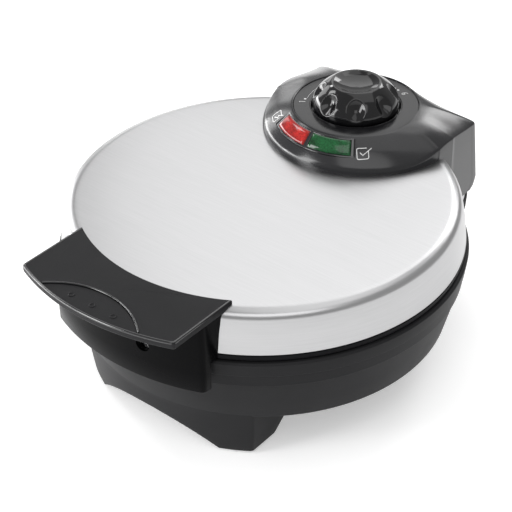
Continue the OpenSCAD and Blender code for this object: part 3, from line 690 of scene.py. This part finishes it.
def housing_outline():
    """Upper edge seen from above, counter-clockwise from the front."""
    pts = []
    for k in range(-172, -7, 1):
        q = math.radians(k)
        pts.append((FRONT_R * math.cos(q), FRONT_Y + FRONT_R * math.sin(q)))
    right = [(HALF_W, y) for y in (88.3, 89, 91, 94, 97, 100, PARTING_CUT - 0.1, PARTING_CUT + 0.1)]
    right += [(half_width(y), y) for y in range(104, 127, 2)]
    corner = rounded([(58.9, 126.5), (58.0, BACK_Y, 4.2), (50, BACK_Y)], False, 8)[1:-1]
    rear = [(x, BACK_Y) for x in range(50, 0, -4)]
    half = right + corner + rear
    pts = [p for p in pts if abs(p[0]) < 60.35]
    return pts + half + [(0, BACK_Y)] + [(-x, y) for x, y in reversed(half)]


def wall_point(x, y, z):
    """Where an outline point lies lower down: the rear wall leans out as it goes down."""
    if y <= PARTING_CUT + 0.1:
        return x, y
    if z >= 69:
        back = BACK_Y + 7 * (109.8 - min(z, 109.8)) / 40.8
    else:
        back = 135.7 + 2.8 * (z - 64) / 5 if z >= 64 else 132 + 3.7 * (z - 62.5) / 1.5
    y1 = PARTING_CUT + (y - PARTING_CUT) * (back - PARTING_CUT) / (BACK_Y - PARTING_CUT)
    return x * half_width(y1) / half_width(y), y1


RED_ARC, GREEN_ARC = (-127.0, -93.2), (-90.8, -57.0)
LENS_R, LENS_Z, LENS_SLOPE, LENS_W = 40.9, 120.5, math.radians(43.7), 9.1
LIP_R, LIP_Z = 38.4, 121.62      # where the lip round the dial ends and the slope starts
SWELL = 1.25                     # how far the slope bulges over a straight line


def front_reach(q):
    """Distance from the dial's axis to the housing's front circle, in the direction q."""
    b = (DIAL_Y - FRONT_Y) * math.sin(q)
    return -b + math.sqrt(b * b - (DIAL_Y - FRONT_Y) ** 2 + FRONT_R ** 2)


def slope_height(s, reach, top):
    """Height of the slope at s from the dial's axis, where it ends at (reach, top)."""
    w = (s - LIP_R) / (reach - LIP_R)
    return LIP_Z + (top - LIP_Z) * w + SWELL * 4 * w * (1 - w)


def housing():
    outline = housing_outline()
    for edge in (RED_ARC[0] - 2.6, RED_ARC[0] - 2.2, GREEN_ARC[1] + 2.2, GREEN_ARC[1] + 2.6):
        # the outline point that the ray from the dial at this angle meets
        q = math.radians(edge)
        s = front_reach(q)
        outline.append((s * math.cos(q), DIAL_Y + s * math.sin(q)))
    outline.sort(key=lambda p: math.atan2(p[1] - DIAL_Y, p[0]))
    columns = []
    for x, y in outline:
        reach = math.hypot(x, y - DIAL_Y)
        q = math.atan2(y - DIAL_Y, x)
        ux, uy = math.cos(q), math.sin(q)
        deg = math.degrees(q)
        top = crease_height(y)
        ease = min(1, max(0, (y - 58) / 40))
        edge = 7.0 - 5.4 * ease * ease * (3 - 2 * ease)
        in_lens = RED_ARC[0] - 2.7 < deg < GREEN_ARC[1] + 2.7
        sunk = RED_ARC[0] - 2.3 < deg < GREEN_ARC[1] + 2.3
        if in_lens:
            steps = [39.2, 39.7, 39.85, 41, 44, 47, 48.75, 48.9, 50.0]
        else:
            steps = [39.2 + (reach - edge - 40.2) * k / 8 for k in range(9)]
        profile = [(37.5, 116.4), (37.5, 121.3), (37.62, 121.55), (37.9, 121.7), (LIP_R, LIP_Z)]
        for k, s in enumerate(steps):
            z = slope_height(s, reach, top)
            profile.append((s, z - (1.3 if sunk and 2 <= k <= 6 else 0)))
        s0, z0 = profile[-1]
        bend = rounded([(s0, z0), (reach, top, edge), (reach, top - 12)], False, 7)[1:-1]
        ring = [(ux * s, DIAL_Y + uy * s, z) for s, z in profile + bend]
        low = 103.6 if y < 88.2 else (80.0 if y < PARTING_CUT else 62.5)
        z_wall = bend[-1][1] if bend else top
        if low < 63:
            levels = [95, 82, 69.6, 68.6, 66, 64.1, 63.2, 62.5]
        else:
            levels = [z_wall + (low - z_wall) * (k + 1) / 8 for k in range(8)]
        for z in levels:
            ring.append((*wall_point(x, y, z), z))
        x_low, y_low, _ = ring[-1]
        thick = 2.5 / max(1.0, math.hypot(x_low, y_low - DIAL_Y))
        ring.append((x_low * (1 - thick), y_low - (y_low - DIAL_Y) * thick, low))
        inner = 0.93
        ring.append((x * inner, DIAL_Y + (y - DIAL_Y) * inner, max(low + 1, min(top - 5, 104))))
        ring.append((ux * 37.0, DIAL_Y + uy * 37.0, 116.0))
        columns.append(ring)
    return loft(columns, wrap=True, loop=True)


piece("housing_moulding", *housing(), "lid", "housing_plastic", HOUSING, replaces=["control_housing"])

piece("dial_disc", *lathe([
    (27.4, 116.5), (27.4, DIAL_TOP, 0.4), (37.35, DIAL_TOP, 0.3), (37.4, 116.5)
], 160, (0, DIAL_Y), True), "lid", "dial_plastic", DIAL, replaces=["dial_plate"])
piece("dial_well", *lathe([
    (3.6, 116.5), (3.6, 117.4), (26.4, 117.4, 0.8), (26.9, 121.0, 0.3), (27.35, 121.0, 0.2), (27.35, 116.5)
], 160, (0, DIAL_Y), True), "lid", "dial_plastic", TRIM)


def on_band(a, deg, h):
    """A point of the sloping lens band: a is the way down the slope, h the height over it."""
    r = LENS_R + a * math.cos(LENS_SLOPE) + h * math.sin(LENS_SLOPE)
    z = LENS_Z - a * math.sin(LENS_SLOPE) + h * math.cos(LENS_SLOPE)
    q = math.radians(deg)
    return r * math.cos(q), DIAL_Y + r * math.sin(q), z


def lens(arc):
    columns = []
    n = 40
    for i in range(n + 1):
        t = i / n
        e = min(1, min(t, 1 - t) * n / 3)
        end = math.sqrt(max(0, 1 - (1 - e) ** 2))
        deg = arc[0] + (arc[1] - arc[0]) * t
        section = [(0.1, -1.0), (0.1, 0.1 + 0.3 * end)]
        for k in range(1, 16):
            a = LENS_W * k / 16
            rise = 1 - (2 * a / LENS_W - 1) ** 6
            section.append((a, 0.15 + end * (0.35 + 0.75 * rise * (1 - 0.35 * (2 * a / LENS_W - 1) ** 2))))
        section += [(LENS_W - 0.1, 0.1 + 0.3 * end), (LENS_W - 0.1, -1.0)]
        columns.append([on_band(a, deg, h) for a, h in section])
    return loft(columns)


piece("lens_red", *lens((RED_ARC[0] + 0.5, RED_ARC[1] - 0.5)), "lid", "red_plastic", RED,
      replaces=["red_lens"])
piece("lens_green", *lens((GREEN_ARC[0] + 0.5, GREEN_ARC[1] - 0.5)), "lid", "green_plastic", GREEN,
      replaces=["green_lens"])


def bar_along(a0, a1, d0, d1, high):
    section = rounded([(a0, -1.2), (a1, -1.2), (a1, high, 0.35), (a0, high, 0.35)], True, 4)
    n = 48
    return loft([[on_band(a, d0 + (d1 - d0) * i / n, h) for a, h in section] for i in range(n + 1)])


def bar_across(d0, d1, a0, a1, high):
    width = math.radians(d1 - d0) * (LENS_R + 4)
    section = rounded([(0, -1.2), (width, -1.2), (width, high, 0.35), (0, high, 0.35)], True, 4)
    return loft([[on_band(a0 + (a1 - a0) * i / 6, d0 + (d1 - d0) * u / width, h) for u, h in section]
                 for i in range(7)])


span = (RED_ARC[0] - 1.9, GREEN_ARC[1] + 1.9)
piece("lens_bezel", *together(
    bar_along(-1.3, 0.0, *span, 0.45), bar_along(LENS_W, LENS_W + 1.3, *span, 0.45),
    bar_across(span[0], RED_ARC[0] + 0.4, -1.25, LENS_W + 1.25, 0.42),
    bar_across(GREEN_ARC[1] - 0.4, span[1], -1.25, LENS_W + 1.25, 0.42),
    bar_across(RED_ARC[1] - 0.3, GREEN_ARC[0] + 0.3, -0.6, LENS_W + 0.6, 0.5)),
      "lid", "bezel_plastic", TRIM, replaces=["lamp_bezel"])

# ------------------------------------------------------------------ printed marks


def on_dial(r, deg, up=0.0):
    q = math.radians(deg)
    return r * math.cos(q), DIAL_Y + r * math.sin(q), DIAL_TOP + up


def ribbon(points, width, surface):
    """A flat printed stroke along 2D points; surface places (u, v, height) in space."""
    low, high = -0.05, 0.06
    n = len(points)
    columns = []
    for i, p in enumerate(points):
        a, b = Vector(points[max(i - 1, 0)]), Vector(points[min(i + 1, n - 1)])
        t = (b - a).normalized()
        nx, ny = -t.y * width / 2, t.x * width / 2
        columns.append([surface(p[0] + nx, p[1] + ny, low), surface(p[0] - nx, p[1] - ny, low),
                        surface(p[0] - nx * 0.9, p[1] - ny * 0.9, high),
                        surface(p[0] + nx * 0.9, p[1] + ny * 0.9, high)])
    return loft(columns)


def polar(u, v, h):
    """u is degrees round the dial, v the radius."""
    return on_dial(v, u, h)


def upright(deg, r, size):
    """Places (u, v) of a small figure on the dial, its foot towards the knob's axis."""
    q = math.radians(deg)
    ux, uy = math.cos(q), math.sin(q)

    def put(u, v, h):
        cx, cy, cz = on_dial(r, deg, h)
        return cx + size * (v * ux + u * uy), cy + size * (v * uy - u * ux), cz
    return put


marks = []
marks.append(disc(*on_dial(30.9, -154)[:2], 121.2, 121.33, 0.8, 0.02, 24))
for k, deg in enumerate((76, 70.5)):
    marks.append(disc(*on_dial(30.9, deg)[:2], 121.2, 121.33, 0.62 + 0.12 * k, 0.02, 24))
sweep = []
for i in range(61):
    q = -157.0 - 127.0 * i / 60
    w = 0.12 + 0.55 * i / 60
    sweep.append([polar(q, 29.9 - w / 2, -0.05), polar(q, 29.9 + w / 2, -0.05), polar(q, 29.9 + w / 2, 0.07),
                  polar(q, 29.9 - w / 2, 0.07)])
marks.append(loft(sweep))
DIGITS = {
    "1": [[(-0.9, 1.6), (0.2, 2.4), (0.2, -2.4)]],
    "6": [[(1.1, 2.2), (-0.4, 1.9), (-1.2, 0.2), (-1.1, -1.6), (0, -2.4), (1.1, -1.7), (1.2, -0.6),
           (0.2, 0.2), (-1.0, -0.4)]],
}
for digit, deg, r in (("1", -147.5, 32.2), ("6", 60.5, 32.2)):
    for stroke in DIGITS[digit]:
        put = upright(deg, r, 0.8)
        marks.append(ribbon(rounded([(*p, 0.7) for p in stroke], False, 4), 0.55, put))
piece("dial_marks", *together(*marks), "lid", "dial_plastic", PRINT)


def on_cone(deg, s):
    """Placer for a small picture on the housing's slope beside the lenses: u across, v up the slope."""
    q = math.radians(deg)

    def put(u, v, h):
        r = s - v * math.cos(LENS_SLOPE)
        turn = q + u / r
        return r * math.cos(turn), DIAL_Y + r * math.sin(turn), housing_height(turn, r) + h + 0.02
    return put


def housing_height(q, s):
    """Height of the housing's slope in the direction q, s from the dial's axis."""
    reach = front_reach(q)
    return slope_height(s, reach, crease_height(DIAL_Y + reach * math.sin(q)))


def dense(stroke):
    """Adds points along a stroke so that it hugs a curved surface."""
    out = []
    for a, b in zip(stroke, stroke[1:]):
        for k in range(6):
            out.append((a[0] + (b[0] - a[0]) * k / 6, a[1] + (b[1] - a[1]) * k / 6))
    return out + [stroke[-1]]


box = [(3.0, 1.2), (3.0, -3.6, 1.0), (-3.7, -3.6, 1.0), (-3.7, 3.4, 1.0), (2.1, 3.4)]
tick = [(-1.9, 0.6), (-0.4, -1.3), (5.0, 3.0)]
bolt = [(3.4, 4.6), (0.4, 0.9), (2.0, 0.3), (-1.2, -2.2)]
for label, deg, strokes in (("heat_symbol", -136.0, (box, bolt)), ("ready_symbol", -48.5, (box, tick))):
    put = on_cone(deg, 47.2)
    piece(label, *together(*[ribbon(dense(rounded(s, False, 4)), 0.5, put) for s in strokes]), "lid",
          "dial_plastic", PRINT)

# ------------------------------------------------------------------ knob

KNOB_DENTS = 8
KNOB_PHASE = math.radians(-54)
DENT_HALF_W, DENT_HALF_L, DENT_DEPTH = 5.6, 7.0, 3.6
DENT_AT = 12.1           # length along the profile from the knob's foot to the middle of a dent


def knob():
    profile = [(0, 118.0), (24.9, 118.0)] + curve_through([
        (25.3, 118.6), (25.8, 120.6), (25.9, 123.2), (25.3, 126.3), (23.7, 129.4), (20.7, 132.6),
        (17.5, 135.1), (15.3, 136.4), (14.0, 136.6), (12.5, 136.1), (9.5, 135.0), (5, 134.1), (0, 133.8)
    ])
    # even spacing along the side, so that the dents get enough points
    even = []
    for (r0, z0), (r1, z1) in zip(profile, profile[1:]):
        n = max(1, int(math.hypot(r1 - r0, z1 - z0) / 0.4)) if r0 > 13 and z0 > 118.5 else 1
        even += [(r0 + (r1 - r0) * k / n, z0 + (z1 - z0) * k / n) for k in range(n)]
    even.append(profile[-1])
    start = next(i for i, p in enumerate(even) if p[0] > 25 and p[1] > 118.5)
    along = [0.0] * len(even)
    for i in range(start + 1, len(even)):
        along[i] = along[i - 1] + math.dist(even[i], even[i - 1])
    columns = []
    n = 480
    for i in range(n):
        q = 2 * math.pi * i / n
        step = 2 * math.pi / KNOB_DENTS
        away = (q - KNOB_PHASE + step / 2) % step - step / 2
        column = []
        for k, (r, z) in enumerate(even):
            depth = 0.0
            nr, nz = 1.0, 0.0
            if start <= k < len(even) - 1:
                dr, dz = even[k + 1][0] - even[k - 1][0], even[k + 1][1] - even[k - 1][1]
                size = math.hypot(dr, dz) or 1.0
                nr, nz = dz / size, -dr / size
                v = (along[k] - DENT_AT) / DENT_HALF_L
                rho = (away * r / (DENT_HALF_W * (1 - 0.14 * v))) ** 2 + v * v
                depth = DENT_DEPTH * max(0.0, 1 - rho)
            column.append(((r - depth * nr) * math.cos(q), DIAL_Y + (r - depth * nr) * math.sin(q),
                           z - depth * nz))
        columns.append(column)
    return loft(columns, wrap=False, loop=True)


knob_obj = piece("knob_cap", *knob(), "dial", "knob_plastic", KNOB, replaces=["knob"])
shade(knob_obj.data, 60)
q = math.radians(-123)
piece("knob_pointer", *moved(disc(15.4 * math.cos(q), DIAL_Y + 15.4 * math.sin(q), 0, 0.45, 0.95, 0.15, 28),
                             lambda a, b, c: (a, b, c + 136.1)), "dial", "knob_plastic", PRINT)

# ------------------------------------------------------------------ waffle plates and heating

WELL_FLOOR, WELL_R = 60.3, 101.5
PITCH, PEG_HALF, PEG_HIGH = 20, 6.5, 9.5


def peg(x, y, half, z0, z1, draft, edge):
    """A tapered square peg with rounded corners and top."""
    rings = []
    for z, d in [(z0, -0.9), (z0 + 0.25, -0.45), (z0 + 0.9, 0)] + \
            [(z1 - edge + edge * math.sin(k * math.pi / 10), draft + edge * (1 - math.cos(k * math.pi / 10)))
             for k in range(6)]:
        h = half - d
        corner = max(0.4, 1.8 - d * 0.5)
        rings.append([(x + u, y + v, z) for u, v in rounded(
            [(-h, -h, corner), (h, -h, corner), (h, h, corner), (-h, h, corner)], True)])
    return loft(rings, caps=(False, True))


def waffle_face():
    """Cooking side of the lower plate; the upper one is this one turned over."""
    parts = [lathe([
        (0, 57), (102.5, 57, 2), (104.5, 60, 2), (104.5, 72.7), (110.2, 72.8, 0.3), (110.2, 75.2, 0.5),
        (103.6, 75.3, 0.6), (102.9, 74.2, 0.8), (101.6, 74.0, 0.8), (101.4, 71),
        (99.3, WELL_FLOOR, 2.5), (0, WELL_FLOOR)
    ], 192, closed=False)]
    last = 5
    for i in range(-last, last):
        for j in range(-last, last):
            x, y = (i + 0.5) * PITCH, (j + 0.5) * PITCH
            if math.hypot(x, y) + PEG_HALF * math.sqrt(2) + 1.5 < WELL_R:
                parts.append(peg(x, y, PEG_HALF, WELL_FLOOR, WELL_FLOOR + PEG_HIGH, 0.7, 0.9))
    for turn in (0, 1):
        ridge = []
        for k in range(41):
            s = -99.6 + 199.2 * k / 40
            fade = 1 if 2 <= k <= 38 else (0.4 if k in (1, 39) else 0)
            high = 60.5 + 5.6 * fade
            section = rounded([(-2.2, 60.1), (2.2, 60.1), (1.3, high, 0.8), (-1.3, high, 0.8)], True, 4)
            ridge.append([(u, s, z) if turn else (s, u, z) for u, z in section])
        parts.append(loft(ridge))
    return together(*parts)


PARTING_Z = 75.6         # height of the joint between the two plates


def turned_over(part):
    """The mirror image across the joint between the plates."""
    return [(x, y, 2 * PARTING_Z - z) for x, y, z in part[0]], [tuple(reversed(f)) for f in part[1]]


face = waffle_face()
piece("lower_waffle_plate", *face, "base", "plate_coating", COATING, replaces=["lower_plate"])
piece("upper_waffle_plate", *turned_over(face), "lid", "plate_coating", COATING, replaces=["upper_plate"])

# ------------------------------------------------------------------ hinge, wiring and small parts

softened("hinge_ears", BASE, 0.7)
softened("wire_bridge", BASE, 0.5)
softened("hinge_bracket", BLACK_STEEL, 0.4)
softened("hinge_pins", PLAIN_STEEL, 0.25)
softened("cord_gland", RING, 0.5)
softened("thermostat", CREAM, 0.3)
softened("terminal_block", CREAM, 0.4)

for node, look in {
    "wire_sleeve": BRAID, "lower_plate_screws": PLAIN_STEEL, "lower_element": SHEATH,
    "lower_element_clips": PLAIN_STEEL, "lower_reflector": SHEET, "terminal_screws": BRASS,
    "thermal_fuse": CREAM, "upper_plate_screws": PLAIN_STEEL, "upper_element": SHEATH,
    "upper_element_clips": PLAIN_STEEL, "upper_reflector": SHEET, "bracket_screws": PLAIN_STEEL,
    "handle_screws": PLAIN_STEEL, "housing_screws": PLAIN_STEEL, "lamp_holder": CREAM,
    "indicator_lamps": GLOW, "thermostat_bracket": PLAIN_STEEL, "thermostat_screws": PLAIN_STEEL,
    "pressure_pin": CREAM, "knob_shaft": BRASS, "knob_clip": PLAIN_STEEL,
}.items():
    mesh = frame["nodes"][node].data
    mesh.materials.clear()
    mesh.materials.append(look)

hy, hz = HINGE
LEG_X, LEG_Y = 24.6, 67.7     # where the heating elements' legs end
piece("base_wires", *together(
    *[tube(smooth_path([(s * 18.1, 62, 38), (s * LEG_X, 62, 38), (s * LEG_X, LEG_Y, 38),
                        (s * LEG_X, LEG_Y, 42.8)], 2.5), 1.3) for s in (-1, 1)],
    tube(smooth_path([(0, 72.1, 40), (0, 102, 40)], 5), 1.6),
    tube(smooth_path([(-12, 72.1, 38), (-12, 84, 38), (-18, 84, 38), (-18, 84, 46), (-18, hy, 46),
                      (-18, hy, hz), (-2.4, hy, hz)], 3), 1.9),
    tube(smooth_path([(-12.1, 30, 42), (-16, 30, 42), (-16, 50, 42), (-16, 50, 38),
                      (-16, 57.9, 38)], 1.6), 0.75)),
      "base", "wire_jacket", BRAID, replaces=["base_wiring"])
piece("lid_wires", *together(
    tube(smooth_path([(2.4, hy, hz), (18, hy, hz), (18, hy, 98), (14, 112, 109.5), (7, 98, 109.5)], 5), 1.9),
    *[tube(smooth_path([(s * LEG_X, LEG_Y, 103.7), (s * LEG_X, LEG_Y, 109), (s * 9.5, 82, 109)], 4), 1.3)
      for s in (-1, 1)],
    *[tube(smooth_path([(s * 5, 77.6, 110.6), (s * 14, 60, 113), (s * 17.5, 52.5, 110.4)], 4), 0.8)
      for s in (-1, 1)]), "lid", "wire_jacket", BRAID, replaces=["lid_wiring"])

# ------------------------------------------------------------------ floor, camera and light

floor_mesh = bpy.data.meshes.new("floor")
floor_mesh.from_pydata([(-6, -6, 0), (6, -6, 0), (6, 6, 0), (-6, 6, 0)], [], [(0, 1, 2, 3)])
floor = bpy.data.objects.new("floor", floor_mesh)
bpy.context.scene.collection.objects.link(floor)
floor_look = bpy.data.materials.new("floor_look")
floor_look.use_nodes = True
floor_shader = floor_look.node_tree.nodes["Principled BSDF"]
floor_shader.inputs["Base Color"].default_value = (0.9, 0.9, 0.9, 1)
floor_shader.inputs["Emission Color"].default_value = (1, 1, 1, 1)
floor_shader.inputs["Emission Strength"].default_value = 0.34
floor_shader.inputs["Roughness"].default_value = 0.9
floor_shader.inputs["Specular IOR Level"].default_value = 0.1
floor_mesh.materials.append(floor_look)

AZ, EL, ROLL, DISTANCE = math.radians(40.0), math.radians(35.6), math.radians(-1.2), 900
SENSOR = 36              # mm
FOCAL = 1500.5 / 512     # in widths of the picture
target = point(-16.1, 12.0, 45.8)
back = Vector((math.sin(AZ) * math.cos(EL), -math.cos(AZ) * math.cos(EL), math.sin(EL)))
right = Vector((0, 0, 1)).cross(back).normalized()
up = back.cross(right)
right, up = right * math.cos(ROLL) + up * math.sin(ROLL), up * math.cos(ROLL) - right * math.sin(ROLL)
cam_data = bpy.data.cameras.new("camera")
cam_data.lens = FOCAL * SENSOR
cam_data.sensor_width = SENSOR
camera = bpy.data.objects.new("camera", cam_data)
camera.matrix_world = Matrix((
    (right.x, up.x, back.x, 0), (right.y, up.y, back.y, 0), (right.z, up.z, back.z, 0), (0, 0, 0, 1)))
camera.location = target + back * DISTANCE * MM
bpy.context.scene.collection.objects.link(camera)
bpy.context.scene.camera = camera


def soft_light(name, place, aim, size, power):
    data = bpy.data.lights.new(name, "AREA")
    data.shape = "RECTANGLE"
    data.size, data.size_y = size
    data.energy = power
    lamp = bpy.data.objects.new(name, data)
    lamp.location = place
    lamp.rotation_euler = (Vector(aim) - Vector(place)).to_track_quat("-Z", "Y").to_euler()
    bpy.context.scene.collection.objects.link(lamp)


soft_light("back_panel", (-0.63, 1.25, 1.45), (0, 0, 0.05), (1.5, 1.4), 9)
soft_light("overhead", (0.2, 0.4, 1.9), (0, 0.05, 0.08), (1.4, 1.3), 5)
soft_light("front_top", (0.68, -0.72, 1.4), (0, 0.05, 0.08), (1.4, 0.9), 6)
soft_light("lens_key", (-1.15, -0.1, 1.15), (0, 0.05, 0.1), (0.4, 0.35), 3)
soft_light("left_wall", (-1.5, -0.2, 0.15), (0, 0.08, 0.12), (1.5, 0.28), 14)
soft_light("low_left", (-1.15, -1.0, 0.2), (0, 0.05, 0.1), (0.6, 0.36), 7)
soft_light("front_left", (-0.72, -1.3, 0.6), (0, 0.08, 0.12), (0.45, 1.1), 13)
soft_light("left_upper", (-1.5, 0.32, 0.6), (0, 0.05, 0.1), (0.5, 0.6), 3)
soft_light("left_rear", (-1.22, 0.97, 0.34), (0, 0.08, 0.12), (0.45, 0.35), 0.75)
soft_light("rear_right", (-0.12, 1.46, 0.97), (0.04, 0.11, 0.1), (0.45, 0.35), 3.2)
world = bpy.data.worlds.new("studio")
bpy.context.scene.world = world
world.use_nodes = True
sky = world.node_tree.nodes["Background"]
sky.inputs["Color"].default_value = (1, 1, 1, 1)
sky.inputs["Strength"].default_value = 0.5
bpy.context.scene.view_settings.view_transform = "Standard"
